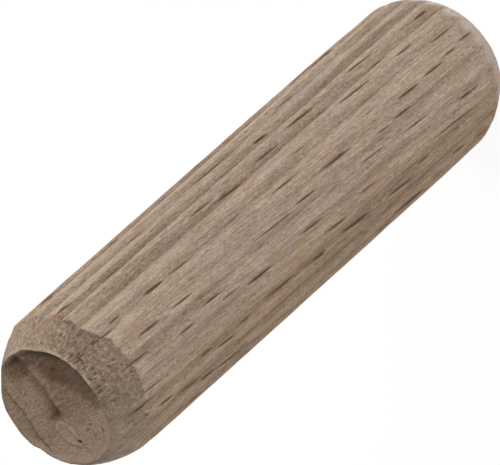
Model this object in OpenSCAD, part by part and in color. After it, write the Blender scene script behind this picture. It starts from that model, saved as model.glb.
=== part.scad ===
// Fluted beech dowel pin for a glued 10 mm joint. It stands on its sound end,
// with the torn end up. Units are millimetres, +Z is up, and the origin is the
// middle of the sound end.

/* [Pin] */
// Diameter over the lands between the flutes
pin_d = 10; // [6:0.5:16]
// Length from end to end
pin_len = 40; // [20:1:80]

/* [Flutes] */
// Number of flutes round the pin
flute_count = 24; // [12:1:30]
// Depth of the flutes below the lands, where the die is centred
flute_depth = 0.2; // [0.1:0.01:0.3]
// Width that is left of the narrowest land
land_w = 0.4; // [0.2:0.1:0.6]
// Distance of the fluting die's axis from the pin's axis
die_offset = 0.06; // [0:0.01:0.08]
// Direction of the deepest flute, counter-clockwise from +X
deep_dir = -45; // [-180:5:180]
// Direction of the first flute, counter-clockwise from +X
first_flute = 0; // [0:0.5:15]

/* [Ends] */
// Diameter of the flat on both ends
end_d = 7.6; // [4:0.2:8]
// Length of the chamfer at both ends
chamfer_len = 2.1; // [1:0.1:4]

/* [Torn end] */
// Depth of the hollow under the high side of its rim
hollow_depth = 0.5; // [0.3:0.02:0.7]
// Direction of that side, counter-clockwise from +X
hollow_dir = -70; // [-180:1:180]
// Slope at which each band of the floor rises from that side to the far side
floor_slope = 5.5; // [0:0.5:6]
// Width of the wall under the rim
hollow_wall_w = 0.35; // [0.1:0.05:0.6]
// Width of the sharp rim between the hollow and the chamfer
rim_w = 0.06; // [0.04:0.02:0.4]
// Place of the first ledge, from the axis
ledge_near = 0; // [-1:0.05:1.5]
// Drop from its top to the middle band
ledge_near_h = 0.25; // [0.04:0.01:0.3]
// Place of the second ledge, from the axis
ledge_far = 2.65; // [2:0.05:3]
// Drop from its top to the outer band
ledge_far_h = 0.15; // [0.04:0.01:0.2]
// Direction that the ledges run in, counter-clockwise from +X
ledge_dir = -9; // [-30:1:30]
// Direction in which the rim has broken off, counter-clockwise from +X
break_dir = -152; // [-180:1:180]
// Distance from the axis at which the break starts
break_from = 2.2; // [1:0.1:3.4]
// Slope of the break, down and out
break_slope = 9; // [2:0.5:15]

/* [Hidden] */
$fn = 96;

pin_r = pin_d / 2;
end_r = end_d / 2;
mouth_r = end_r - rim_w;
pitch = 360 / flute_count;
// Overshoot of cutting shapes past the surface that they cut
clear = 1;

// The die's opening is a ring of round lobes that meet in sharp valleys. The
// lobes stand just outside the blank where the die cuts deepest, so that each
// keeps a strip of the blank between its flanks.
land_half = asin(land_w / 2 / pin_r);
land_rise = flute_depth * pow(land_half / (pitch / 2), 2);
die_r = pin_r + die_offset + land_rise;
valley_r = pin_r + die_offset - flute_depth;
valley_along = valley_r * cos(pitch / 2);
lobe_r = (die_r * die_r + valley_r * valley_r - 2 * die_r * valley_along)
    / (2 * (die_r - valley_along));

// Section of the die's opening, with the ring of lobes filled to the middle
module die_opening() {
    circle(r = valley_r - lobe_r / 4);
    for (i = [0 : flute_count - 1])
        rotate(first_flute - deep_dir + (i + 0.5) * pitch)
            translate([die_r - lobe_r, 0]) circle(r = lobe_r);
}

// Section of the pin: a round blank pushed through the die a little off centre
module fluted_section() {
    intersection() {
        circle(r = pin_r);
        rotate(deep_dir) translate([-die_offset, 0]) die_opening();
    }
}

// Turned outline that gives both ends their chamfer
module chamfered_blank() {
    rotate_extrude()
        polygon([
            [0, 0],
            [end_r, 0],
            [pin_r + clear * (pin_r - end_r) / chamfer_len, chamfer_len + clear],
            [pin_r + clear * (pin_r - end_r) / chamfer_len, pin_len - chamfer_len - clear],
            [end_r, pin_len],
            [0, pin_len]
        ]);
}

// Cup that the fibre is torn from: a steep wall down from a sharp rim
module hollow_cup() {
    cup_depth = hollow_depth + ledge_near_h + ledge_far_h;
    rotate_extrude()
        polygon([
            [0, -cup_depth],
            [mouth_r - hollow_wall_w, -cup_depth],
            [mouth_r - hollow_wall_w, -hollow_depth],
            [mouth_r, 0],
            [mouth_r, clear],
            [0, clear]
        ]);
}

// All that lies above the sloping floor, which starts at its full depth at the
// foot of the wall on the deep side
module above_floor(depth) {
    rotate([0, 0, hollow_dir])
        translate([mouth_r - hollow_wall_w, 0, -depth])
            rotate([0, floor_slope, 0])
                translate([-2 * pin_d, -pin_d, 0])
                    cube([3 * pin_d, 2 * pin_d, pin_d]);
}

// All that lies past a ledge
module past_ledge(place) {
    rotate([0, 0, ledge_dir])
        translate([-pin_d, place, -pin_r])
            cube([2 * pin_d, pin_d, pin_d]);
}

// The wedge that has gone where the rim broke off
module broken_rim() {
    rotate([0, 0, break_dir])
        translate([break_from, 0, 0])
            rotate([0, break_slope, 0])
                translate([0, -pin_d, 0])
                    cube([pin_d, 2 * pin_d, pin_r]);
}

// Fibre torn out of the top end in three bands, each rising towards the next
// ledge. The second ledge has taken the rim with it.
module torn_out() {
    translate([0, 0, pin_len]) {
        intersection() {
            hollow_cup();
            union() {
                above_floor(hollow_depth);
                intersection() {
                    above_floor(hollow_depth + ledge_near_h);
                    past_ledge(ledge_near);
                }
            }
        }
        intersection() {
            above_floor(hollow_depth + ledge_near_h + ledge_far_h);
            past_ledge(ledge_far);
        }
        broken_rim();
    }
}

module dowel_pin() {
    color("#9a8673")
        difference() {
            intersection() {
                linear_extrude(pin_len) fluted_section();
                chamfered_blank();
            }
            torn_out();
        }
}

dowel_pin();
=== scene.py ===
import math

import bpy
import numpy as np
from mathutils import Matrix, Vector


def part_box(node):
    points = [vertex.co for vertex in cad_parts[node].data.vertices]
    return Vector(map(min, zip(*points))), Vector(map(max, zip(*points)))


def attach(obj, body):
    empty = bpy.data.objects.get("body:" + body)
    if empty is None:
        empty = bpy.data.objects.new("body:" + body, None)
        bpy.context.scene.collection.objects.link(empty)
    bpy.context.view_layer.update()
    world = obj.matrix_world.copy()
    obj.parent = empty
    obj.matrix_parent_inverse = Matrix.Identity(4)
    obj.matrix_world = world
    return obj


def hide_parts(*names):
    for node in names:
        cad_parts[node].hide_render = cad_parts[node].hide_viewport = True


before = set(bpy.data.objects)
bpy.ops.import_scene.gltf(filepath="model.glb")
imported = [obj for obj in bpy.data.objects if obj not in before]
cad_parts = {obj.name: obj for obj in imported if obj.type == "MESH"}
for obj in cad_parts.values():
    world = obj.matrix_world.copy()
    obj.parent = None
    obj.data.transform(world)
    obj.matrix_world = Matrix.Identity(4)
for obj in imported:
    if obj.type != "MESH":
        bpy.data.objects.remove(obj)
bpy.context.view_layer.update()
pinLow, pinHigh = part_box("dowel_pin")
print("frame loaded")

millimetre = 0.001  # shapes are worked out in millimetres and put into the mesh in metres

# directions are in degrees from +X, counter-clockwise from above, and turns from -Y towards -X; a span is the
# value where something starts and the one where it is whole
pin = {
    "radius": round(-pinLow.x / millimetre, 2),
    "length": (pinHigh.z - pinLow.z) / millimetre,
    "fibreLean": (0.05, -0.02),  # how far the fibres run off to +X and +Y for each millimetre up
    # flutes: turn, how deep it is pressed in, and how far from it to the next a rib is highest
    "flutes": [
        (-91, 0.24, 0.64), (-76.8, 0.39, 0.64), (-60.5, 0.32, 0.64), (-46, 0.36, 0.36), (-31.5, 0.38, 0.64),
        (-15.5, 0.22, 0.64), (0, 0.13, 0.64), (11.5, 0.2, 0.64), (28.5, 0.17, 0.64), (45.5, 0.19, 0.64),
        (59, 0.25, 0.64), (75, 0.19, 0.64), (91, 0.18, 0.64), (106, 0.19, 0.64), (121, 0.15, 0.64),
        (136, 0.18, 0.64), (151, 0.2, 0.64), (166, 0.17, 0.64), (181, 0.19, 0.64), (196, 0.22, 0.64),
        (211, 0.2, 0.64), (225.5, 0.24, 0.64), (240, 0.22, 0.64), (254.5, 0.25, 0.64),
    ],
    "ribRise": 3.3,  # power of a rib's curve up from its flute, where 1 is straight
    "ribFall": 0.8,  # power of its fall to the next
    "fluteWander": 0.4,  # degrees
    "depthWander": 0.2,  # share of the flute's depth
    "swell": 0.088,  # how far the ribs stand out past the nominal radius
    "swellSpan": (0, 9),
    # the dark line along the bottom of a flute that is deep enough, which comes and goes: painted shade in
    # the crease
    "creaseWidth": 0.075,
    "creaseSpan": (0.12, 0.32),
    "creasePatches": (0.55, 0.9),  # how much there is on the whole, and how much that varies
    # the sound end and its chamfer
    "endRadius": 3.75,
    "chamferLength": 2.1,
    "chamferCurve": 0.68,  # 1 is straight, and less is rounded outwards
    "chamferBlend": 0.22,  # how softly it runs into the shank
    "chamferShift": 0.08,  # how far off the axis it was cut, towards +X
    "chamferShiftSpan": (0, 0.8),
    # the torn end's rim: direction, distance from the axis, and how far it has dropped
    "rim": [
        (-180, 3.9, 0.24), (-160, 3.8, 0.28), (-140, 3.65, 0.26), (-122, 3.6, 0.2), (-108, 3.68, 0.1),
        (-94, 3.76, 0.02), (-82, 3.88, 0), (-68, 3.92, 0), (-56, 3.95, 0), (-43, 3.9, 0), (-30, 3.88, 0),
        (-18, 3.94, 0), (-6, 3.95, 0), (10, 3.95, 0), (36, 3.76, 0.04), (52, 3.85, 0.02), (61, 3.86, 0),
        (76, 3.82, 0), (90, 3.84, 0), (101, 3.84, 0.02), (110, 3.7, 0.05), (121, 3.79, 0.08),
        (133, 3.84, 0.14), (150, 3.85, 0.2), (180, 3.9, 0.24),
    ],
    "rimRadius": 4,  # about, for the pattern of its notches
    "raggedRim": [(-180, 0.35), (-150, 0.45), (-125, 1), (-20, 1), (0, 0.4), (180, 0.35)],
    "notchDepths": (0.035, 0.03),  # coarse and fine
    # the torn rim is rubbed pale and carries a painted highlight along its lit edge, by direction
    "rubbedLitRim": [
        (-180, 0.1), (-125, 0.1), (-108, 0.7), (-95, 1), (-50, 1), (-12, 0.9), (10, 0.4), (180, 0.1),
    ],
    "rubbedLitLevels": (0.8, 0.6),  # how pale it is on the whole, and how much that varies
    "rubbedLitSpan": (0.12, 0.02),  # of its drop: where it has broken off, it is neither rubbed nor lit
    "rubbedLitWidths": (0.12, 0.07),  # outside and inside
    # the torn chamfer: direction, and how far below the top it ends against the fluted shank
    "tornEdge": [
        (-180, 2.5), (-160, 2.2), (-130, 2), (-126, 2.3), (-112, 2.5), (-80, 2.5), (-68, 2),
        (-60, 1.85), (-53, 2.1), (-46, 1.95), (-40, 2.2), (-32, 2), (-16, 2), (-4, 1.85), (12, 2.2),
        (60, 2.2), (120, 2.2), (150, 2.5), (170, 2.6), (180, 2.5),
    ],
    "tornEdgeWander": 0.12,
    "tornEdgeWidth": 0.12,  # over which the shank's look gives way to the torn one
    "tornReach": 2.8,  # how far below the top the rim's drop is felt
    # its look: direction, how crumbled, how pale, how torn, and how light
    "tornLook": [
        (-180, 0.2, 1, 0.1, 1.2), (-150, 0.15, 1, 0.15, 0.6), (-132, 0.25, 0.6, 0.7, -0.3),
        (-118, 0.8, 0.3, 1, 0.1), (-90, 1, 0.2, 1, 0.4), (-62, 0.9, 0.05, 1, -0.4), (-50, 0.85, 0.2, 1, 0.6),
        (-30, 0.85, 0.35, 1, 0.7), (-10, 0.85, 0.45, 1, 1), (40, 0.8, 0.4, 1, 0.9), (180, 0.3, 0.9, 0.5, 0.8),
    ],
    # where its fibres were pressed and not torn, its corner is rounded and the flutes beside it are flattened
    "pressed": [(-180, 1), (-150, 1), (-125, 0.05), (100, 0.05), (150, 1), (180, 1)],
    "tornCurves": (0.9, 0.7),  # power of its outline, where torn and where pressed
    "pressedBlend": 0.4,
    "pressedFlutes": 0.8,  # share of their depth that goes
    "pressedInset": 0.03,  # how far inside the ribs the flattened wood stays
    "pressedSpan": (3.4, 2),  # below the top
    "pressedSheets": 0.5,
    # dark holes and tufts, whose darkness is painted shade laid through the relief: direction, how far below
    # the top, reach across and down, and level
    "darkSpots": [
        (-73.5, 1.65, 0.16, 0.2, 1), (-51.5, 1.9, 0.24, 0.36, 0.6), (-59, 1.5, 0.16, 0.3, 0.5),
        (-140, 2.2, 0.12, 0.2, 0.9), (-105.5, 0.3, 0.15, 0.15, 1), (-27, 2, 0.09, 0.35, 0.45),
        (-24, 1.4, 0.1, 0.4, 0.45), (-18.5, 0.8, 0.1, 0.4, 0.4),
    ],
    "pitSpan": (0.5, 0.75),
    # where pits are thickest: how far below the top, direction, reach of each, and by how much
    "pitsNear": {"middle": (0.5, -88), "reach": (0.45, 22), "more": 0.42},
    # a warm brown fibre that slants up the torn chamfer: its direction at a distance below the top, degrees
    # that it turns for each millimetre up, cosine of its slant, and width; then its level by that distance
    "warmFibre": {"direction": -42.7, "below": 2.33, "turn": 11.5, "lean": 0.74, "width": 0.11},
    "warmLevel": [(0.1, 0), (0.5, 0.6), (1.5, 0.7), (2, 1), (2.2, 1), (2.4, 0)],
    # how pale the chamfer of the sound end is, by direction: partly the paler, burnished wood where it was
    # cut and partly painted light on that chamfer
    "soundPaleAndLit": [
        (-180, 0.22), (-165, 0.15), (-150, 0.3), (-138, 0.7), (-119, 0.5), (-90, 0.45), (-75, 0.5),
        (-60, 0.85), (-30, 1.05), (-20, 1), (-8, 0.6), (60, 0.45), (180, 0.22),
    ],
    "soundCutSpan": (0, 0.45),  # how far the chamfer lies inside the shank
    "soundEndPale": 0.5,
    # how tan the wood is, by direction: most towards the sides at +X and -X
    "sideTan": [
        (-180, 1.3), (-150, 1.1), (-128, 0.7), (-110, 0.1), (-60, 0.15), (-22, 0.1), (-8, 1.1), (30, 0.6),
        (150, 0.8), (180, 1.3),
    ],
    "tornTan": 0.8,  # share of it that goes where the wood is torn
    # lightness of the shank: painted shade in its flutes below the ribs down to a depth, painted light on its
    # foot up to a height, and painted shade in creases
    "fluteShadeDepth": 0.24,
    "footLight": (0.9, 15),
    "creaseShade": 1.6,
    # darker and paler stretches: direction and height of the middle, reach in degrees and up, and level
    "toneStretches": [
        (-3, 21, 8, 8, -1.1), (-54, 31, 4, 6, -0.8), (-138, 33, 6, 7, 0.5), (-105, 34, 14, 5, -0.4),
        (-138, 15, 7, 8, -0.5), (-155, 24, 5, 15, 0.7), (-11, 10, 9, 4, 1.4), (-22, 16, 5, 4, 0.8),
        (-21, 34, 3, 3, 0.7), (-35, 34, 3.5, 3, 0.9), (-64.5, 34, 2.5, 3, 0.9), (-15, 34, 2.5, 3.5, -0.8),
    ],
    # rays that stand out: turn, how far below the torn end they start, and length; the last five lie beside
    # earlier ones and make them broad
    "boldRays": [
        (-14.5, 35.6, 2.4), (40, 0.3, 2.8), (-51, 2, 1.8), (-45, 5.7, 3.1), (-58, 9.8, 2.3),
        (-16, 6.6, 1.9), (-15, 9, 2.1), (-14, 1.4, 2.1), (2, 4.1, 2), (3, 7.2, 2.1), (12, 1.6, 2.7),
        (19.5, 6.4, 1.9), (15.5, 9.2, 1.9), (21.5, 10.6, 1.8), (34, 2, 1.9), (43, 7.5, 1.4),
        (48, 9.3, 1.7), (52, 3.2, 1.4), (56, 4.9, 2.7), (63, 7.4, 1.7), (68, 9, 4.1), (-36.5, 13.5, 2.5),
        (-31, 15.7, 2.9), (-34.5, 20.1, 2.4), (-58, 16.9, 3.8), (-9.5, 18.6, 2.4), (7, 14.9, 4.5),
        (6.5, 19.3, 2.1), (26, 13.1, 2.4), (24.5, 18.3, 2.6), (36.5, 20.2, 2.5), (43, 13.6, 3.6),
        (46, 18, 2.5), (-38.5, 23.8, 2.6), (-25.5, 27.1, 3.5), (-40, 29.5, 3.2), (1, 22.5, 3),
        (7.5, 27.3, 1.7), (7.5, 29.2, 1.8), (15.5, 25.1, 2.6), (19.5, 29.2, 2.9), (31, 23.8, 2.3),
        (46, 22, 3), (50, 26.5, 2.4), (74.5, 27.4, 3.6), (-0.5, 33.2, 2.1), (-2.5, 37, 1.9),
        (28, 34.5, 2.5), (39, 31.1, 5.1), (68.5, 35.6, 2.1), (-17.5, 3.2, 1.2), (-48, 21.5, 1.5),
        (-20.5, 21.7, 1.6), (-62, 25.3, 2), (-0.5, 30.6, 2.1), (-24, 33.1, 1.6), (64, 33.2, 1.5),
        (70, 30.9, 1.8), (45, 29.8, 1.3), (45, 11.5, 1.4), (-30, 31.3, 1.5), (-36, 36.6, 1.5),
        (-1.8, 35.5, 1.3), (28.9, 34.9, 1.8), (47.3, 22.3, 2.4), (47.2, 18.3, 1.9), (44, 14.2, 2.6),
    ],
    "boldRay": {"reach": 2, "longer": 1.2, "thickness": (0.055, 0.095)},
    "faintRay": {"tries": 420, "reach": (0.8, 2.2), "half": (0.35, 1.5), "thickness": (0.045, 0.075)},
    "rayEnds": 0.5,  # how far from the ends of the pin the faint ones stay
    "raySeed": 11,
    # among the bold rays, up to a turn to either side of -Y, faint ones are fewer and smaller
    "seenRay": {"turn": 80, "dropped": 0.6, "half": 0.6, "thickness": 0.5},
    # a ray is fainter where it lies flat in the surface, and towards the top
    "flatRay": {"fainter": 0.75, "span": (0.8, 0.98)},
    "topRay": {"fainter": 0.5, "span": (1.7, 1.2)},
    "rayEdge": (-0.025, 0.025),
    "rayInsets": (-0.3, 0.1),  # the least and the most that the material reads
    # heights of the relief
    "fibreRelief": 0.016,
    "rayRelief": 0.04,
    "crumbRelief": 0.03,
    "speckRelief": 0.05,
    "faceRelief": 0.014,
    "smoother": 0.5,  # share of the relief of fibres and rays that goes where the sound chamfer was cut
    # finer unevenness as a share of the coarser, and crumbs against pits, in the mesh and to the material
    "fineFibre": 0.6,
    "fineCrumb": 0.8,
    "faceSwell": 0.6,
    "crumbs": 0.4,
    "crumbLook": 0.35,
    # rings of the mesh
    "around": 432,
    "baseShares": (0.12, 0.27, 0.42, 0.56, 0.69, 0.8, 0.89, 0.96),
    "chamferRows": 14,
    "shankRows": 112,
    "tornRows": 38,
    "faceRings": 54,
    # random unevenness: size of its boxes along X, Y and Z, and seed
    "unevenness": {
        "fluteWander": ((2.2, 2.2, 7), 3), "depthWander": ((1.3, 1.3, 5), 4),
        "crease": ((1.5, 1.5, 4), 8), "tornEdge": ((0.35, 0.35, 0.5), 5),
        "coarseNotch": ((0.38, 0.38, 0.38), 9), "fineNotch": ((0.14, 0.14, 0.14), 10),
        "rubbedLitRim": ((0.6, 0.6, 0.6), 6), "faceEdge": ((0.28, 0.28, 1), 7),
        "coarseFibre": ((0.16, 0.16, 3), 21), "fineFibre": ((0.1, 0.1, 1.6), 22),
        "coarseCrumb": ((0.12, 0.12, 0.5), 31), "fineCrumb": ((0.1, 0.1, 0.2), 32),
        "pit": ((0.1, 0.1, 0.36), 33), "faceFibre": ((0.12, 0.5, 0.4), 34),
        "faceSwell": ((0.5, 0.6, 0.5), 35), "speck": ((0.11, 0.14, 1), 36),
        "stainAndShadeStreak": ((0.14, 0.6, 0.6), 37),
    },
}
arc = pin["radius"] * math.pi / 180  # millimetres round the pin for each degree


def fade(share):
    # goes from 0 to 1 with level ends: three times the square less twice the cube
    held = np.clip(share, 0, 1)
    return held * held * (3 - 2 * held)


def rise(value, span):
    # the same for a value that goes along a span, up or down
    return fade((value - span[0]) / (span[1] - span[0]))


def through(table, at, column=1):
    # a line through chosen points that is level at each of them; the table's first column says where they are
    points, values = np.array(table, float)[:, [0, column]].T
    step = np.clip(np.searchsorted(points, at, side="right") - 1, 0, len(points) - 2)
    share = (at - points[step]) / (points[step + 1] - points[step])
    return values[step] + (values[step + 1] - values[step]) * fade(share)


def blot(across, up, middle, reach, powers=(2, 2)):
    # a soft mark, 1 at its middle: e to minus the sum of each distance as a share of its reach, to a power
    fromSide = ((across - middle[0]) / reach[0]) ** powers[0]
    fromLevel = ((up - middle[1]) / reach[1]) ** powers[1]
    return np.exp(-fromSide - fromLevel)


def dwindle(distance, reach):
    # 1 up to where a distance starts, and then less and less: e to minus its share of a reach
    return np.exp(-np.clip(distance, 0, None) / reach)


def softLeast(first, second, blend):
    # the lesser of two radii, cut back in a parabola where they are closer together than the blend
    gap = np.abs(first - second) / blend
    return np.minimum(first, second) - blend / 4 * np.clip(1 - gap, 0, None) ** 2


def onRing(radius, azimuth, height):
    # places at a distance from the pin's axis
    x = radius * np.cos(azimuth)
    return np.stack([x, radius * np.sin(azimuth), height + 0 * x], -1)


def uneven(places, name):
    # random values from -1 to 1 at the corners of boxes, blended smoothly between them; the large numbers
    # scatter each corner's place and the seed over 32 bits
    cell, seed = pin["unevenness"][name]
    scaled = places / np.array(cell, float)
    corner = np.floor(scaled).astype(np.int64)
    part = fade(scaled - corner)
    total = np.zeros(places.shape[:-1])
    for side in range(8):
        step = np.array([side & 1, side >> 1 & 1, side >> 2 & 1])
        at = corner + step
        key = at[..., 0] * 374761393 + at[..., 1] * 668265263 + at[..., 2] * 1440662683 + seed * 1274126177
        key = key & 0xFFFFFFFF
        key = ((key ^ (key >> 13)) * 1274126177) & 0xFFFFFFFF
        key = ((key ^ (key >> 15)) * 2246822519) & 0xFFFFFFFF
        value = ((key ^ (key >> 16)) & 0xFFFF) / 0xFFFF
        total += value * np.prod(np.where(step == 1, part, 1 - part), axis=-1)
    return total * 2 - 1


def alongFibres(places):
    # takes the fibres' lean out, so that a fibre keeps its first two numbers all the way up
    leanX, leanY = pin["fibreLean"]
    above = places[..., 2] - pin["length"] / 2
    return np.stack([places[..., 0] - leanX * above, places[..., 1] - leanY * above, places[..., 2]], -1)


def fluteOutline(azimuth, height):
    # the radius of the shank and how creased it is: from each flute a rib rises in a curve to its crest and
    # falls to the next flute, and each flute wanders a little sideways and in depth along the pin
    place = onRing(pin["radius"], azimuth, height)
    first = pin["flutes"][0]
    starts, depths, crests = np.array(pin["flutes"] + [(first[0] + 360, first[1], first[2])], float).T
    wander = pin["fluteWander"] * uneven(place, "fluteWander")
    turn = (-90 - np.degrees(azimuth) + wander - first[0]) % 360 + first[0]
    flute = np.clip(np.searchsorted(starts, turn, side="right") - 1, 0, len(starts) - 2)
    width = starts[flute + 1] - starts[flute]
    share = (turn - starts[flute]) / width
    crest = crests[flute]
    rising = depths[flute] * np.clip((crest - share) / crest, 0, 1) ** pin["ribRise"]
    falling = depths[flute + 1] * np.clip((share - crest) / (1 - crest), 0, 1) ** pin["ribFall"]
    deeper = 1 + pin["depthWander"] * uneven(place, "depthWander")
    radius = pin["radius"] + pin["swell"] * rise(height, pin["swellSpan"]) - (rising + falling) * deeper

    fromFlute = np.minimum(share, 1 - share) * width * arc
    depth = np.where(share < 0.5, depths[flute], depths[flute + 1])
    level, varies = pin["creasePatches"]
    patch = np.clip(level + varies * uneven(place, "crease"), 0, 1)
    return radius, np.exp(-((fromFlute / pin["creaseWidth"]) ** 2)) * rise(depth, pin["creaseSpan"]) * patch


# the torn face: across is a place to -X and up one to -Y, and a table's first column is the place across
tornFace = {
    # ledges along the growth rings: their place up, and how far the face drops past them
    "upperLedge": [
        (-3.8, 0.52, 0.26), (-3, 0.5, 0.22), (-2.2, 0.47, 0.1), (-1.2, 0.42, 0.09), (-0.6, 0.3, 0.13),
        (0, 0.1, 0.2), (0.5, -0.12, 0.19), (0.8, -0.3, 0.1), (1.3, -0.38, 0.08), (2.2, -0.42, 0.07),
        (3.8, -0.45, 0.05),
    ],
    "lowerLedge": [
        (-3, -2.2, 0.12), (-2, -2.28, 0.15), (-1, -2.34, 0.17), (-0.3, -2.5, 0.19), (0.3, -2.7, 0.21),
        (0.8, -2.86, 0.19), (1.6, -2.9, 0.17), (2.4, -2.86, 0.14),
    ],
    # width of each, how much wider it is to +X, and distance past it in which the face comes up again
    "ledges": [("upperLedge", 0.3, 0.3, 0.8), ("lowerLedge", 0.16, 0, 0.7)],
    "ledgeSpan": (0, -1),
    # direction, and width of the wall under the rim
    "wallWidth": [(-180, 0.6), (-140, 0.5), (-110, 0.3), (20, 0.3), (60, 0.4), (180, 0.6)],
    "floor": {"depth": 0.14, "fall": 0.14, "span": (-0.5, 2.5)},  # it falls to -X
    "hollow": {"depth": 0.4, "reach": 0.9, "span": (2.6, 0.2)},  # under the high side of the rim
    "lip": {"height": 0.1, "span": (0, -3.4)},  # it is higher at its low edge
    "ragged": 0.06,  # how far its ledges and marks wander
    # dips: middle, reach, and depth
    "dips": [((-3.4, -0.3), (0.5, 0.7), 0.1), ((0.5, -0.5), (0.36, 0.45), 0.09)],
    "lump": {"middle": (1.65, -0.9), "half": (0.9, 0.52), "height": 0.09, "steep": 3.2, "ragged": 2.6},
    # how pale the lump is rubbed, and its edge to +X: middle and reach by share of its half width and across
    "lumpPale": {"level": 0.2, "steep": 4, "from": 1.05},
    "lumpEdge": {"level": 0.32, "middle": (1, 0.9), "reach": (0.19, 0.5)},
    "pit": {"middle": (2.42, -0.62), "radius": 0.14, "depth": 0.16, "span": (1.3, 0.3)},
    "lighter": (0.9, 2.1),  # the span across in which the face gets lighter
    # round brown marks: middle, reach, power, and level; the broad second one is partly painted shade over
    # the hollow
    "browns": [
        ((-3.1, 0.8), (0.5, 0.5), 2, 0.35), ((-0.3, 1.3), (2.4, 1.9), 4, 0.33),
        ((-2.1, 1.65), (1.3, 0.75), 2, 0.2),
    ],
    # the crescent under the rim, brown stain and painted shadow of the rim, by its lower border's place up
    "crescentBorder": [
        (-4, 0.9), (-3.3, 0.95), (-2.5, 0.8), (-1.5, 0.85), (-1, 1.15), (-0.5, 1.65), (0.5, 2),
        (1.5, 2.25), (2.2, 3.2),
    ],
    "crescent": {"level": 0.44, "soft": 0.75, "span": (2.1, 1.7)},
    # brown marks at both ends of the first ledge: the first moves over further up, and the second, partly
    # painted shade below the ledge, slants
    "leftMark": {"level": 0.85, "middle": (-3.27, -0.25), "reach": (0.86, 1.15), "moved": 0.25,
                 "span": (-0.15, 0.35)},
    "middleMark": {"level": 0.77, "middle": (0.46, -0.6), "reach": (0.64, 0.75), "slant": 0.4, "from": -0.7,
                   "span": (0.225, -0.075)},
    # painted shade: the strip below the first ledge, by spans past it and across
    "shelf": {"level": 0.3, "top": (0.05, -0.05), "foot": (-1, -0.3), "side": (0.3, -0.9)},
    # painted shade: the strip below the second: a least level, and one that grows across and dwindles down
    "band": {"level": 0.85, "edge": (0, 0.12), "least": 0.1, "start": 0.6, "grows": 0.4, "side": (-0.5, 1),
             "reach": 0.3},
    # paler by the left of the rim and on its wall, by spans across and up
    "leftRim": {"paler": 0.2, "side": (-2.4, -2.9), "level": (0.3, 0.7)},
    "leftWall": {"paler": 0.1, "side": (-3.2, -3.55)},
    # the crack past the lump, by its place up, and the painted shade below it
    "crackLine": [(0.8, -0.36), (1.3, -0.52), (2.1, -0.56), (2.4, -0.62), (3, -0.52), (3.8, -0.5)],
    "crack": {"level": 0.35, "width": 0.05, "side": (0.7, 1)},
    "underCrack": {"level": 0.16, "reach": 0.5, "edge": (0, 0.06), "side": (2.5, 2.8)},
    # painted shade darkens the pit
    "facePitShade": {"level": 0.9, "span": (1.4, 0.4)},
    "split": {"level": 0.26, "across": 0.5, "width": 0.03, "span": (-2.6, -2.8)},  # along the fibres
    # patches of open pores: middle and reach along X and Y, power along Y, and level
    "pores": [((-2.55, -1.3), (0.85, 1.2), 4, 1), ((2.2, 1.6), (1, 0.5), 2, 0.45)],
    "poreSpan": (0.3, 0.6),
    "poreStain": 0.7,
    "stainAndShadeStreaks": 0.18,
    "stainAndShadeWidth": 0.1,  # over which the stain and painted shade start inside the rim
}


def lumpShare(across, up):
    # distance from the middle of the lump, as a share of its half width
    (x, y), (halfX, halfY) = tornFace["lump"]["middle"], tornFace["lump"]["half"]
    return np.hypot((across - x) / halfX, (up - y) / halfY)


def pitShare(across, up):
    # distance from the middle of the pit, as a share of its radius
    pit = tornFace["pit"]
    return np.hypot(across - pit["middle"][0], up - pit["middle"][1]) / pit["radius"]


def faceDepth(across, up):
    # depth of the torn face below the top: a floor that rises from the hollow under the high side of the rim
    # to the first ledge, steps down past each ledge and comes up again, with a lump, two dips and a pit
    floor, hollow, lump, pit = (tornFace[name] for name in ("floor", "hollow", "lump", "pit"))
    above = up - through(tornFace["upperLedge"], across)
    depth = floor["depth"] + floor["fall"] * rise(across, floor["span"])
    depth += rise(across, hollow["span"]) * hollow["depth"] * (1 - dwindle(above, hollow["reach"]))
    for name, width, wider, back in tornFace["ledges"]:
        width = width + wider * rise(across, tornFace["ledgeSpan"])
        past = through(tornFace[name], across) - up
        depth += through(tornFace[name], across, 2) * fade(past / width) * dwindle(past, back)
    for middle, reach, deep in tornFace["dips"]:
        depth += deep * blot(across, up, middle, reach)
    depth = depth - tornFace["lip"]["height"] * rise(up, tornFace["lip"]["span"])
    depth = depth - lump["height"] * fade(lump["steep"] * (1 - lumpShare(across, up)) + 0.5)
    return depth + pit["depth"] * rise(pitShare(across, up), pit["span"])


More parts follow.
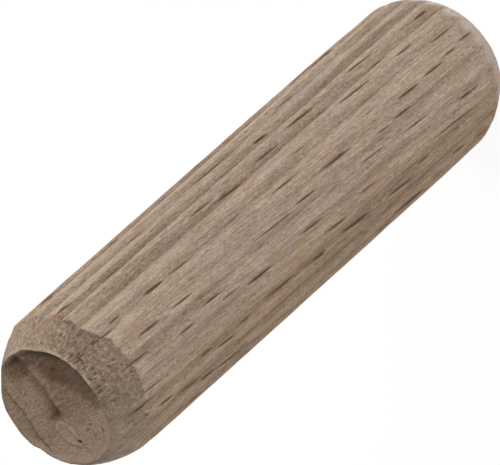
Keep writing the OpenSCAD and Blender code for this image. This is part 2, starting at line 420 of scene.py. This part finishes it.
def faceStainAndShade(across, up):
    # how brown and shaded the torn face is, from 0 to 1: marks added up over the hollow under the high rim,
    # both ends of the first ledge and the strips below both ledges, less by the left of the rim, and then a
    # crack past the lump with the painted shade below it, the pit and a split along the fibres. It is partly
    # brown stain and partly painted shade: the hollow and crescent under the rim, the mark at the middle of
    # the first ledge, the strips below the ledges, the shade below the crack and the dark of the pit are
    # painted shade.
    above = up - through(tornFace["upperLedge"], across)
    past = through(tornFace["lowerLedge"], across) - up
    total = 0
    for middle, reach, power, level in tornFace["browns"]:
        total += level * blot(across, up, middle, reach, (power, power))
    mark = tornFace["crescent"]
    border = through(tornFace["crescentBorder"], across)
    total += mark["level"] * fade((up - border) / mark["soft"] + 0.5) * rise(across, mark["span"])
    mark = tornFace["leftMark"]
    moved = across + mark["moved"] * rise(up, mark["span"])
    total += mark["level"] * blot(moved, up, mark["middle"], mark["reach"], (4, 4))
    mark = tornFace["middleMark"]
    slanted = across + mark["slant"] * (up - mark["from"])
    slanted = blot(slanted, up, mark["middle"], mark["reach"]) * rise(above, mark["span"])
    total += mark["level"] * slanted
    mark = tornFace["shelf"]
    shelf = rise(above, mark["top"]) * rise(above, mark["foot"]) * rise(across, mark["side"])
    total += mark["level"] * shelf
    mark = tornFace["band"]
    along = (mark["start"] + mark["grows"] * rise(across, mark["side"])) * dwindle(past, mark["reach"])
    total += mark["level"] * rise(past, mark["edge"]) * (mark["least"] + along)
    mark = tornFace["leftRim"]
    total *= (1 - mark["paler"] * rise(across, mark["side"]) * rise(up, mark["level"]))
    mark = tornFace["leftWall"]
    total *= (1 - mark["paler"] * rise(across, mark["side"]))

    under = through(tornFace["crackLine"], across) - up
    mark = tornFace["crack"]
    total += mark["level"] * np.exp(-((under / mark["width"]) ** 2)) * rise(across, mark["side"])
    mark = tornFace["underCrack"]
    below = dwindle(under, mark["reach"]) * rise(under, mark["edge"]) * rise(across, mark["side"])
    total += mark["level"] * below
    mark = tornFace["facePitShade"]
    total += mark["level"] * rise(pitShare(across, up), mark["span"])
    mark = tornFace["split"]
    split = np.exp(-(((across - mark["across"]) / mark["width"]) ** 2)) * rise(up, mark["span"])
    return np.clip(total + mark["level"] * split, 0, 1)


def rayInset(places, rays):
    # how deep a place lies inside the nearest of the wood's rays, in millimetres: each ray is a thin lens on
    # edge, whose half thickness falls from its middle to its ends as a parabola
    straight = alongFibres(places)
    inset = np.full(places.shape[:-1], -1.0)  # far outside
    for x, y, z, reach, half, thickness in rays:
        near = np.abs(straight[..., 2] - z) < half
        if not near.any():
            continue
        here = straight[near]
        lens = 1 - ((here[:, 2] - z) / half) ** 2 - ((here[:, 1] - y) / reach) ** 2
        inset[near] = np.maximum(inset[near], thickness * lens - np.abs(here[:, 0] - x))
    return np.clip(inset, *pin["rayInsets"])


def allRays():
    # the bold rays, and random faint ones all round, which are fewer and smaller among the bold ones
    draw = np.random.default_rng(pin["raySeed"])
    bold, faint, seen = pin["boldRay"], pin["faintRay"], pin["seenRay"]
    rays = []
    for turn, start, length in pin["boldRays"]:
        height = pin["length"] - start - length / 2
        x, y, z = alongFibres(onRing(pin["radius"], math.radians(-90 - turn), height))
        rays.append((x, y, z, bold["reach"], bold["longer"] * length / 2, draw.uniform(*bold["thickness"])))
    for k in range(faint["tries"]):
        azimuth = draw.uniform(0, 2 * math.pi)
        height = draw.uniform(pin["rayEnds"], pin["length"] - pin["rayEnds"])
        half = draw.uniform(*faint["half"])
        thickness = draw.uniform(*faint["thickness"])
        if abs((math.degrees(azimuth) + 90 + 180) % 360 - 180) < seen["turn"]:
            half *= seen["half"]
            thickness *= seen["thickness"]
            if draw.uniform() < seen["dropped"]:
                continue
        x, y, z = alongFibres(onRing(pin["radius"], azimuth, height))
        rays.append((x, y, z, draw.uniform(*faint["reach"]), half, thickness))
    return rays


def soundEnd(azimuth):
    # flat rings, each a share of the end's radius
    shares = np.array(pin["baseShares"])[:, None]
    places = onRing(shares * pin["endRadius"], azimuth, 0)
    return places, {"soundShare": pin["soundEndPale"] + 0 * places[..., 0]}


def pinSide(azimuth, degrees, rim, rimDrop, rubbed):
    # both chamfers and the shank between them: at each height the radius is the least of the three, and along
    # a chamfer it follows the height to a power
    top = pin["length"]
    tornStart = top - pin["tornReach"]
    lower = np.linspace(0, pin["chamferLength"], pin["chamferRows"], endpoint=False)
    middle = np.linspace(pin["chamferLength"], tornStart, pin["shankRows"], endpoint=False)
    upper = np.linspace(tornStart, top, pin["tornRows"])
    height = np.concatenate([lower, middle, upper])[:, None] + 0 * azimuth
    below = top - height
    around = azimuth + 0 * height
    ribTop = pin["radius"] + pin["swell"]
    shank, crease = fluteOutline(around, height)
    curve = (height / pin["chamferLength"]) ** pin["chamferCurve"]
    soundChamfer = pin["endRadius"] + (pin["radius"] - pin["endRadius"]) * curve
    soundChamfer += pin["chamferShift"] * np.cos(around) * rise(height, pin["chamferShiftSpan"])
    cut = softLeast(shank, soundChamfer, pin["chamferBlend"])

    pressed = through(pin["pressed"], degrees)
    flattened = pin["pressedFlutes"] * pressed * rise(below, pin["pressedSpan"])
    cut += (ribTop - pin["pressedInset"] - cut) * flattened
    wander = uneven(onRing(pin["radius"], around, height), "tornEdge") * through(pin["tornLook"], degrees)
    edge = through(pin["tornEdge"], degrees) + pin["tornEdgeWander"] * wander
    tornCurve, pressedCurve = pin["tornCurves"]
    curve = (below / edge) ** (tornCurve + (pressedCurve - tornCurve) * pressed)
    tornChamfer = rim + (pin["radius"] - rim) * curve
    radius = softLeast(cut, tornChamfer, pin["pressedBlend"] * pressed)
    height -= rimDrop * np.clip(1 - below / pin["tornReach"], 0, 1)

    # painted shade makes flutes and creases darker than the ribs, and painted light makes the foot paler;
    # past the torn edge its own lightness takes over
    pastEdge = fade((edge - below) / pin["tornEdgeWidth"] + 0.5)
    footPaler, footHeight = pin["footLight"]
    lightness = np.clip(1 - (ribTop - shank) / pin["fluteShadeDepth"], 0, 1)
    lightness += footPaler * fade(1 - height / footHeight) - pin["creaseShade"] * crease
    for direction, middleHeight, reach, tall, level in pin["toneStretches"]:
        off = (degrees - direction + 180) % 360 - 180
        lightness += level * blot(off, height, (0, middleHeight), (reach, tall))
    looks = {
        "lightness": lightness + (through(pin["tornLook"], degrees, 4) - lightness) * pastEdge,
        "tornShare": pastEdge * through(pin["tornLook"], degrees, 3),
        "tanLost": pastEdge,
        "sheetShare": pin["pressedSheets"] * pastEdge * pressed,
        "soundShare": rise(shank - soundChamfer, pin["soundCutSpan"]) * through(pin["soundPaleAndLit"], degrees),
        "rimShare": np.exp(-((below / pin["rubbedLitWidths"][0]) ** 2)) * rubbed,
    }
    return onRing(radius, around, height), looks


def tornEnd(azimuth, degrees, rim, rimDrop, rubbed):
    # rings that shrink from the rim to the middle: a wall under the rim fades into the depth of the torn face
    share = np.linspace(1, 0, pin["faceRings"] + 1)[1:-1, None]
    flat = onRing(share * rim, azimuth, 0)
    across, up = -flat[..., 0], -flat[..., 1]
    inward = (1 - share) * rim
    wall = fade(inward / through(tornFace["wallWidth"], degrees))
    wander = tornFace["ragged"] * uneven(flat, "faceEdge")
    drop = rimDrop * (1 - wall) + faceDepth(across, up + wander) * wall

    # the rim is rubbed pale and carries a painted highlight along its lit edge, and the lump and its edge to
    # +X are rubbed pale
    pale, edge = tornFace["lumpPale"], tornFace["lumpEdge"]
    fromLump = lumpShare(across, up + tornFace["lump"]["ragged"] * wander)
    lumpRubbed = edge["level"] * blot(fromLump, across, edge["middle"], edge["reach"])
    lumpRubbed = lumpRubbed + pale["level"] * fade(pale["steep"] * (pale["from"] - fromLump))
    rimRubbedLit = np.exp(-((inward / pin["rubbedLitWidths"][1]) ** 2)) * rubbed
    looks = {
        "lightness": rise(across, tornFace["lighter"]),
        "tornShare": 1 + 0 * across,
        "tanLost": 1 + 0 * across,
        "faceShare": wall,
        "stain": faceStainAndShade(across, up + wander) * fade(inward / tornFace["stainAndShadeWidth"]),
        "rimShare": np.maximum(rimRubbedLit, lumpRubbed),
    }
    return onRing(share * rim, azimuth, pin["length"] - drop), looks


def pinSurface():
    # rows of rings from the middle of the sound end, out, up the shank and into the middle of the torn end,
    # with what the material reads from them, 0 where a part doesn't give it, and how crumbled they are
    azimuth = np.arange(pin["around"]) * 2 * math.pi / pin["around"]
    degrees = (np.degrees(azimuth) + 180) % 360 - 180
    rim = through(pin["rim"], degrees)
    rimPlace = onRing(pin["rimRadius"], azimuth, 0)
    coarse, fine = pin["notchDepths"]
    notches = coarse * uneven(rimPlace, "coarseNotch") + fine * uneven(rimPlace, "fineNotch")
    rim += through(pin["raggedRim"], degrees) * notches
    rimDrop = through(pin["rim"], degrees, 2)
    level, varies = pin["rubbedLitLevels"]
    rubbed = level + varies * uneven(onRing(rim, azimuth, 0), "rubbedLitRim")
    rubbed *= through(pin["rubbedLitRim"], degrees) * rise(rimDrop, pin["rubbedLitSpan"])

    parts = [
        soundEnd(azimuth),
        pinSide(azimuth, degrees, rim, rimDrop, rubbed),
        tornEnd(azimuth, degrees, rim, rimDrop, rubbed),
    ]
    places = np.concatenate([part[0] for part in parts])
    looks = {}
    for name in sorted(set().union(*(part[1] for part in parts))):
        looks[name] = np.concatenate([part[1].get(name, np.zeros(part[0].shape[:-1])) for part in parts])
    everywhere = np.zeros(places.shape[:-1])
    looks["tornPale"] = everywhere + through(pin["tornLook"], degrees, 2)
    looks["tanShare"] = through(pin["sideTan"], degrees) * (1 - pin["tornTan"] * looks.pop("tanLost"))
    return places, looks, everywhere + through(pin["tornLook"], degrees)


def inScene(name, data):
    # an object in the scene for a mesh, a lamp or a camera
    made = bpy.data.objects.new(name, data)
    bpy.context.scene.collection.objects.link(made)
    return made


def closedMesh(name, places, centres):
    # rows of rings joined by quads, with a point at the middle of each end
    rows, around = places.shape[:2]
    here = np.arange(rows * around).reshape(rows, around)
    beside = np.roll(here, -1, axis=1)
    quads = np.stack([here[:-1], beside[:-1], beside[1:], here[1:]], -1).reshape(-1, 4)
    lowerFan = np.stack([beside[0], here[0], np.full(around, rows * around)], -1)
    upperFan = np.stack([here[-1], beside[-1], np.full(around, rows * around + 1)], -1)
    corners = np.concatenate([quads.ravel(), lowerFan.ravel(), upperFan.ravel()]).astype(np.int32)
    starts = np.concatenate([np.arange(len(quads)) * 4, len(quads) * 4 + np.arange(2 * around) * 3])
    points = np.concatenate([places.reshape(-1, 3), centres]) * millimetre
    mesh = bpy.data.meshes.new(name)
    mesh.vertices.add(len(points))
    mesh.vertices.foreach_set("co", points.astype(np.float32).ravel())
    mesh.loops.add(len(corners))
    mesh.loops.foreach_set("vertex_index", corners)
    mesh.polygons.add(len(starts))
    mesh.polygons.foreach_set("loop_start", starts.astype(np.int32))
    mesh.update(calc_edges=True)
    mesh.validate()
    mesh.polygons.foreach_set("use_smooth", np.ones(len(mesh.polygons), bool))
    return inScene(name, mesh)


def surfaceNormals(places):
    # the direction out of the surface at each point of the rings: the cross product of the ways between its
    # neighbours around and along
    along = np.gradient(places, axis=0)
    around = np.roll(places, -1, axis=1) - np.roll(places, 1, axis=1)
    normal = np.cross(around, along)
    return normal / np.maximum(np.linalg.norm(normal, axis=-1, keepdims=True), 1e-9)


def makePin():
    # the smooth surface, moved along its own direction by fibres, rays, crumbs, pits, spots and specks
    places, looks, rough = pinSurface()
    normal = surfaceNormals(places)
    straight = alongFibres(places)
    x, y = places[..., 0], places[..., 1]
    below = pin["length"] - places[..., 2]
    direction = np.degrees(np.arctan2(y, x))
    torn, face = looks["tornShare"], looks["faceShare"]
    sound = 1 - np.maximum(torn, pin["smoother"] * looks["soundShare"])

    flatRay, topRay = pin["flatRay"], pin["topRay"]
    lyingFlat = rise(np.abs(normal[..., 0]), flatRay["span"])
    looks["raySheet"] = rayInset(places, allRays())
    looks["rayStrength"] = (1 - flatRay["fainter"] * lyingFlat) * (1 - face)
    looks["rayStrength"] *= 1 - topRay["fainter"] * rise(below, topRay["span"])
    rays = rise(looks["raySheet"], pin["rayEdge"]) * looks["rayStrength"]
    fibres = uneven(straight, "coarseFibre") + pin["fineFibre"] * uneven(straight, "fineFibre")

    # the torn chamfer: crumbs, pits, dark spots and the warm fibre
    crumbs = uneven(places, "coarseCrumb") + pin["fineCrumb"] * uneven(places, "fineCrumb")
    near = pin["pitsNear"]
    nearRim = near["more"] * blot(below, direction, near["middle"], near["reach"], (2, 4))
    pits = rise(uneven(places, "pit") + nearRim, pin["pitSpan"])
    spots = 0 * pits
    for middle, under, reach, tall, level in pin["darkSpots"]:
        off = (direction - middle) * arc
        spots = np.maximum(spots, level * blot(off, below, (0, under), (reach, tall)))
    spots *= 1 - face
    warm = pin["warmFibre"]
    off = (direction - warm["direction"] - warm["turn"] * (warm["below"] - below)) * arc * warm["lean"]
    level = through(pin["warmLevel"], below.clip(pin["warmLevel"][0][0], pin["warmLevel"][-1][0]))
    looks["warmShare"] = np.exp(-((off / warm["width"]) ** 2)) * (1 - face) * level

    # the torn face: fibres that lie along it, open pores, and streaks in its stain and painted shade
    faceFibres = uneven(places, "faceFibre") + pin["faceSwell"] * uneven(places, "faceSwell")
    porous = 0 * face
    for middle, reach, power, level in tornFace["pores"]:
        porous = np.maximum(porous, level * blot(x, y, middle, reach, (2, power)))
    specks = rise(uneven(places, "speck"), tornFace["poreSpan"]) * porous * face
    streaked = looks["stain"] * (1 + tornFace["stainAndShadeStreaks"] * uneven(places, "stainAndShadeStreak"))
    looks["stain"] = np.clip(streaked + tornFace["poreStain"] * specks, 0, 1)

    # the relief that the material reads lays painted shade where the surface dips, in pits, dark spots and
    # low crumbs
    looks["relief"] = (pin["crumbLook"] * crumbs - pits) * (torn - face) * rough
    looks["relief"] += pin["crumbLook"] * faceFibres * face - spots
    crumbled = (pin["crumbs"] * crumbs - pits) * np.clip(torn - face, 0, 1) * rough - spots
    out = (pin["fibreRelief"] * fibres - pin["rayRelief"] * rays) * sound + pin["crumbRelief"] * crumbled
    out += pin["faceRelief"] * faceFibres * face - pin["speckRelief"] * specks
    places += normal * out[..., None]
    places[..., 2] = np.clip(places[..., 2], 0, pin["length"])
    centres = np.array([[0, 0, 0], [0, 0, places[-1, :, 2].mean()]])
    piece = closedMesh("beech_dowel_pin", places, centres)
    for name, values in looks.items():
        attribute = piece.data.attributes.new(name, "FLOAT", "POINT")
        atCentres = [values[0].mean(), values[-1].mean()]
        attribute.data.foreach_set("value", np.append(values.ravel(), atCentres).astype(np.float32))
    return piece, list(looks)


def colour(code):
    # an sRGB hex code as a linear colour
    parts = [int(code[k : k + 2], 16) / 255 for k in (1, 3, 5)]
    return [p / 12.92 if p <= 0.04045 else ((p + 0.055) / 1.055) ** 2.4 for p in parts] + [1]


def emptyTree(owner):
    # the node tree of a material or world, without the nodes it starts with
    owner.use_nodes = True
    owner.node_tree.nodes.clear()
    return owner.node_tree


def addNode(tree, kind, inputs=None, stops=None, **settings):
    # a node with its settings; an input is a plain value or the socket to link from
    node = tree.nodes.new(kind)
    for name, value in settings.items():
        setattr(node, name, value)
    for name, value in (inputs or {}).items():
        if isinstance(value, bpy.types.NodeSocket):
            tree.links.new(value, node.inputs[name])
        else:
            node.inputs[name].default_value = value
    if stops:
        ramp = node.color_ramp
        for k, (position, code) in enumerate(stops):
            stop = ramp.elements[k] if k < len(ramp.elements) else ramp.elements.new(position)
            stop.position = position
            stop.color = colour(code)
    return node


beech = {
    # each pattern's width in millimetres, and how far it is squeezed towards Y and up the grain. Beech's
    # fibres are 0.02 mm wide, too fine to show, so fine streaks are drawn as wide as its 0.06 mm vessels or a
    # little wider. Crumbs and clumps are bundles of fibres, and the broad ones are parts of a growth ring.
    "patterns": {
        "fineStreak": (0.068, 1, 0.026),
        "shortStreak": (0.075, 1, 0.28),
        "broadStreak": (0.5, 1, 0.06),
        "tint": (0.15, 1, 0.34),
        "crumb": (0.1, 1, 0.4),
        "faceStreak": (0.09, 0.35, 0.5),
        "broadTint": (0.8, 1, 0.3),
        "clump": (0.19, 1, 0.55),
        "sheet": (0.1, 0.12, 0.1),  # fibres pressed flat, in thin sheets across X
    },
    "sheetTurn": 0.1,  # radians about Z
    # how the patterns are mixed, as shares of the second
    "fineShare": 0.5,
    "broadShare": 0.18,
    "clumpShare": 0.55,
    "broadTintShare": 0.28,
    "tinted": 0.68,
    "tornTinted": 0.3,
    # colours by the value of a pattern, and how much lightness adds to it
    "fibreColours": [(0.426, "#756255"), (0.525, "#9E8B79"), (0.624, "#C4B19E")],
    "crumbColours": [(0.41, "#564536"), (0.525, "#786553"), (0.64, "#A6907A")],
    "smoothColours": [(0.34, "#786553"), (0.5, "#96826F"), (0.68, "#C4B19E")],
    "faceColours": [(0.32, "#7E6854"), (0.5, "#9A836D"), (0.68, "#AD9A88")],
    "lights": {"fibre": 0.042, "crumb": 0.042, "face": 0.065},
    # colours laid over those, the most that each covers, and the values of the tint, of the relief and of
    # millimetres inside a ray between which some come in
    "laid": {
        # the pale of the cut is partly painted light, the brown of the torn face is partly painted shade, the
        # darkest brown is painted shade in pits, and the pale of the rim is partly a painted highlight
        "cut": "#F2E8DE", "tan": "#AC9171", "grey": "#A69991", "flatGrain": "#FFF2E2", "warm": "#906C50",
        "pitted": "#4A3A2D", "stain": "#7D6650", "rubbed": "#C4B19E", "ray": "#533A29",
    },
    "most": {"cut": 0.9, "flatGrain": 0.6, "pitted": 0.85, "stain": 0.92, "rubbed": 0.75, "ray": 0.88},
    "between": {"tan": (0.51, 0.61), "grey": (0.49, 0.39), "pitted": (-0.25, -0.9), "ray": (-0.02, 0.045)},
    "smoothCover": 0.75,  # of the shank's fibres over the smooth parts of the torn chamfer
    "roughness": 0.72,
    # the finest relief: its height in millimetres, and factors on the torn chamfer and face and in rays
    "relief": 0.03,
    "crumbHeight": 1.8,
    "faceHeight": 1.0,
    "rayHeight": -0.5,
}


def rawBeech():
    # steamed beech, turned and fluted but not finished: dry and matt, in fine streaks of tan and grey, with
    # the dark flecks of its rays; darker and crumbled where it is torn, pale and burnished where it was cut.
    # Painted shade darkens its flutes, creases, pits and the hollow and ledges of the torn face, and painted
    # light makes its foot, the cut chamfer and the torn rim paler
    material = bpy.data.materials.new("raw_beech_turned_and_fluted")
    tree = emptyTree(material)
    place = addNode(tree, "ShaderNodeTexCoord").outputs["Object"]
    leanX, leanY = pin["fibreLean"]
    upright = {"Vector": place, "Rotation": (math.atan(leanY), -math.atan(leanX), 0)}
    upright["Scale"] = (1 / millimetre,) * 3
    grain = addNode(tree, "ShaderNodeMapping", upright).outputs["Vector"]
    sheets = {"Vector": grain, "Rotation": (0, 0, beech["sheetTurn"])}
    sheets = addNode(tree, "ShaderNodeMapping", sheets).outputs["Vector"]
    given = {}
    for name in pinLooks:
        given[name] = addNode(tree, "ShaderNodeAttribute", attribute_name=name).outputs["Fac"]

    noise = {}
    for k, (name, (width, squeezeY, squeezeZ)) in enumerate(beech["patterns"].items()):
        moved = {"Vector": sheets if name == "sheet" else grain, "Scale": (1, squeezeY, squeezeZ)}
        moved["Location"] = (7.3 * k, 3.1 * k, 0)  # so that no two patterns match
        moved = addNode(tree, "ShaderNodeMapping", moved).outputs["Vector"]
        pattern = {"Vector": moved, "Scale": 1 / width, "Detail": 3, "Roughness": 0.65}
        noise[name] = addNode(tree, "ShaderNodeTexNoise", pattern).outputs["Fac"]

    # patterns mixed: fibres of the shank, crumbs of the torn chamfer, a tint and how much of it there is, and
    # how much the crumbs stand up
    fibre = noise["shortStreak"]
    shares = {"fineStreak": beech["fineShare"], "broadStreak": beech["broadShare"]}
    shares["sheet"] = given["sheetShare"]
    for name, some in shares.items():
        fibre = addNode(tree, "ShaderNodeMix", {0: some, 2: fibre, 3: noise[name]}).outputs[0]
    mixes = {
        "crumb": {0: beech["clumpShare"], 2: noise["crumb"], 3: noise["clump"]},
        "tint": {0: beech["broadTintShare"], 2: noise["tint"], 3: noise["broadTint"]},
        "tinted": {0: given["tornShare"], 2: beech["tinted"], 3: beech["tornTinted"]},
        "raised": {0: given["faceShare"], 2: beech["crumbHeight"], 3: beech["faceHeight"]},
    }
    for name, mix in mixes.items():
        mixes[name] = addNode(tree, "ShaderNodeMix", mix).outputs[0]

    # their colours, paler where the mesh is light
    values = {"fibre": fibre, "crumb": mixes["crumb"], "face": noise["faceStreak"]}
    for name, light in beech["lights"].items():
        lit = {0: given["lightness"], 1: light, 2: values[name]}
        values[name] = addNode(tree, "ShaderNodeMath", lit, operation="MULTIPLY_ADD").outputs[0]
    values["smooth"] = noise["crumb"]
    colours = {name: colour(code) for name, code in beech["laid"].items()}
    for name, value in values.items():
        ramp = addNode(tree, "ShaderNodeValToRGB", {"Fac": value}, stops=beech[name + "Colours"])
        colours[name] = ramp.outputs["Color"]

    # how much the colours that are laid over them cover
    most = dict(beech["most"], tan=mixes["tinted"], grey=mixes["tinted"])
    lessTorn = {0: -most["flatGrain"], 1: given["tornShare"], 2: most["flatGrain"]}
    most["flatGrain"] = addNode(tree, "ShaderNodeMath", lessTorn, operation="MULTIPLY_ADD").outputs[0]
    reads = {"tan": mixes["tint"], "grey": mixes["tint"], "pitted": given["relief"], "ray": given["raySheet"]}
    cover = {}
    for name, (start, end) in beech["between"].items():
        ends = {"Value": reads[name], "From Min": start, "From Max": end, "To Max": most[name]}
        kind = "SMOOTHSTEP" if name == "ray" else "LINEAR"
        cover[name] = addNode(tree, "ShaderNodeMapRange", ends, interpolation_type=kind).outputs["Result"]
    covers = (
        ("ray", cover["ray"], given["rayStrength"]),
        ("cut", given["soundShare"], most["cut"]),
        ("flatGrain", given["tanShare"], most["flatGrain"]),
        ("stain", given["stain"], most["stain"]),
        ("rubbed", given["rimShare"], most["rubbed"]),
    )
    for name, some, other in covers:
        cover[name] = addNode(tree, "ShaderNodeMath", {0: some, 1: other}, operation="MULTIPLY").outputs[0]
    cover.update(fibre=beech["smoothCover"], smooth=given["tornPale"], torn=given["tornShare"])
    cover.update(warm=given["warmShare"], face=given["faceShare"])

    # what is laid over what: a name, what is below and what is above. The wood is the shank's fibres, with
    # the cut, partly painted light, the torn chamfer, tan and grey fibres, a warmer tone towards the sides,
    # the warm fibre, painted shade in pits, the torn face with its brown stain and painted shade, its rubbed
    # rim with a painted highlight and the rays laid over them in turn.
    layers = [("smooth", "smooth", "fibre"), ("torn", "crumb", "smooth"), ("face", "face", "stain")]
    layers.append(("wood", "fibre", "cut"))
    order = ("torn", "tan", "grey", "flatGrain", "warm", "pitted", "face", "rubbed", "ray")
    layers += [("wood", "wood", over) for over in order]
    for name, under, over in layers:
        layer = {0: cover[over], 6: colours[under], 7: colours[over]}
        blend = "MULTIPLY" if over in ("stain", "flatGrain") else "MIX"
        mixed = addNode(tree, "ShaderNodeMix", layer, data_type="RGBA", blend_type=blend)
        colours[name] = mixed.outputs[2]

    # the finest relief
    crumbled = {0: noise["crumb"], 1: mixes["raised"]}
    crumbled = addNode(tree, "ShaderNodeMath", crumbled, operation="MULTIPLY").outputs[0]
    mix = {0: given["tornShare"], 2: values["fibre"], 3: crumbled}
    height = addNode(tree, "ShaderNodeMix", mix).outputs[0]
    lowered = {0: cover["ray"], 1: beech["rayHeight"], 2: height}
    height = addNode(tree, "ShaderNodeMath", lowered, operation="MULTIPLY_ADD").outputs[0]
    raised = {"Height": height, "Strength": 0.8, "Distance": beech["relief"] * millimetre}
    look = {
        "Base Color": colours["wood"],
        "Roughness": beech["roughness"],
        "IOR": 1.5,
        "Specular IOR Level": 0.2,
        "Normal": addNode(tree, "ShaderNodeBump", raised).outputs["Normal"],
    }
    shader = addNode(tree, "ShaderNodeBsdfPrincipled", look)
    addNode(tree, "ShaderNodeOutputMaterial", {"Surface": shader.outputs[0]})
    return material


pinPiece, pinLooks = makePin()
pinPiece.data.materials.append(rawBeech())
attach(pinPiece, "root")
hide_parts("dowel_pin")
print("pin:", len(pinPiece.data.polygons), "faces")


studio = {
    "focalLength": 824.5,
    "sensorWidth": 36,
    "distance": 0.668,
    "tilt": 50.16,  # degrees between the view and the pin's axis
    "roll": 41.75,
    "aside": (-4.3, -2.7),  # how far right and up the camera is moved, in pixels of the frame
    "pixelsPerMillimetre": 17.144,
    "floorHalf": 3.0,
    "floorGrey": 0.7,
    "roomLight": 0.0,  # the lamps give all the light
    "shadowShare": 0.15,
    # lamps: turn, degrees above the floor, distance, width, and level, where 1 shows a facing surface in
    # about its own colour
    "lamps": {
        "edgeLamp": (-130, 12, 0.6, 0.12, 0.1),
        "sideLamp": (-92, 30, 0.6, 0.28, 0.54),
        "windowLamp": (-35, 26, 0.6, 0.28, 0.51),
        "fillLamp": (42, 18, 0.6, 0.4, 0.44),
        "backLamp": (150, 14, 0.6, 0.4, 0.14),
    },
}
pinMiddle = Vector((0, 0, pin["length"] / 2 * millimetre))


def whiteToLens(tree, surface, shadowed=None):
    # a plain white to the camera and in reflections, and the given surface to every other ray
    path = addNode(tree, "ShaderNodeLightPath").outputs
    seen = path["Is Camera Ray"]
    for ray in ("Is Glossy Ray", "Is Transmission Ray"):
        seen = addNode(tree, "ShaderNodeMath", {0: seen, 1: path[ray]}, operation="MAXIMUM").outputs[0]
    kind = "ShaderNodeEmission" if shadowed else "ShaderNodeBackground"
    level = 1 - studio["shadowShare"] / 2 if shadowed else 1
    plain = addNode(tree, kind, {"Color": (1, 1, 1, 1), "Strength": level}).outputs[0]
    if shadowed:
        plain = addNode(tree, "ShaderNodeAddShader", {0: plain, 1: shadowed}).outputs[0]
    return addNode(tree, "ShaderNodeMixShader", {0: seen, 1: surface, 2: plain}).outputs[0]


def makeFloor():
    mesh = bpy.data.meshes.new("studio_floor")
    half = studio["floorHalf"]
    corners = [(-half, -half, 0), (half, -half, 0), (half, half, 0), (-half, half, 0)]
    mesh.from_pydata(corners, [], [(0, 1, 2, 3)])
    floor = inScene("studio_floor", mesh)
    material = bpy.data.materials.new("white_paper_floor")
    tree = emptyTree(material)
    paper = addNode(tree, "ShaderNodeBsdfDiffuse", {"Color": (studio["floorGrey"],) * 3 + (1,)}).outputs[0]
    shadowGrey = (studio["shadowShare"],) * 3 + (1,)
    shadowed = addNode(tree, "ShaderNodeBsdfDiffuse", {"Color": shadowGrey}).outputs[0]
    addNode(tree, "ShaderNodeOutputMaterial", {"Surface": whiteToLens(tree, paper, shadowed)})
    mesh.materials.append(material)


def makeWorld():
    world = bpy.data.worlds.new("studio_room")
    tree = emptyTree(world)
    room = {"Color": (1, 1, 1, 1), "Strength": studio["roomLight"]}
    room = addNode(tree, "ShaderNodeBackground", room).outputs[0]
    addNode(tree, "ShaderNodeOutputWorld", {"Surface": whiteToLens(tree, room)})
    bpy.context.scene.world = world


def makeLamps():
    for name, (turn, above, distance, width, level) in studio["lamps"].items():
        data = bpy.data.lights.new(name, "AREA")
        data.shape = "DISK"
        data.size = width
        data.energy = level * math.pi**2 * distance**2
        lamp = inScene(name, data)
        turn, above = math.radians(turn), math.radians(above)
        out = Vector((-math.sin(turn) * math.cos(above), -math.cos(turn) * math.cos(above), math.sin(above)))
        lamp.location = pinMiddle + out * distance
        lamp.rotation_euler = out.to_track_quat("Z", "Y").to_euler()
        lamp.visible_camera = False


def makeCamera():
    tilt, roll = math.radians(studio["tilt"]), math.radians(studio["roll"])
    back = Vector((0, -math.sin(tilt), math.cos(tilt)))
    down = Vector((0, -math.cos(tilt), -math.sin(tilt)))
    left = Vector((1, 0, 0))
    right = math.cos(roll) * down - math.sin(roll) * left
    up = math.sin(roll) * down + math.cos(roll) * left
    data = bpy.data.cameras.new("studio_camera")
    data.lens = studio["focalLength"]
    data.sensor_width = studio["sensorWidth"]
    data.clip_end = 10
    camera = inScene("studio_camera", data)
    aside = [pixels / studio["pixelsPerMillimetre"] * millimetre for pixels in studio["aside"]]
    place = pinMiddle + back * studio["distance"] + right * aside[0] + up * aside[1]
    camera.matrix_world = Matrix.Translation(place) @ Matrix((right, up, back)).transposed().to_4x4()
    bpy.context.scene.camera = camera


makeFloor()
makeWorld()
makeLamps()
makeCamera()
bpy.context.scene.view_settings.view_transform = "Standard"
print("studio ready")
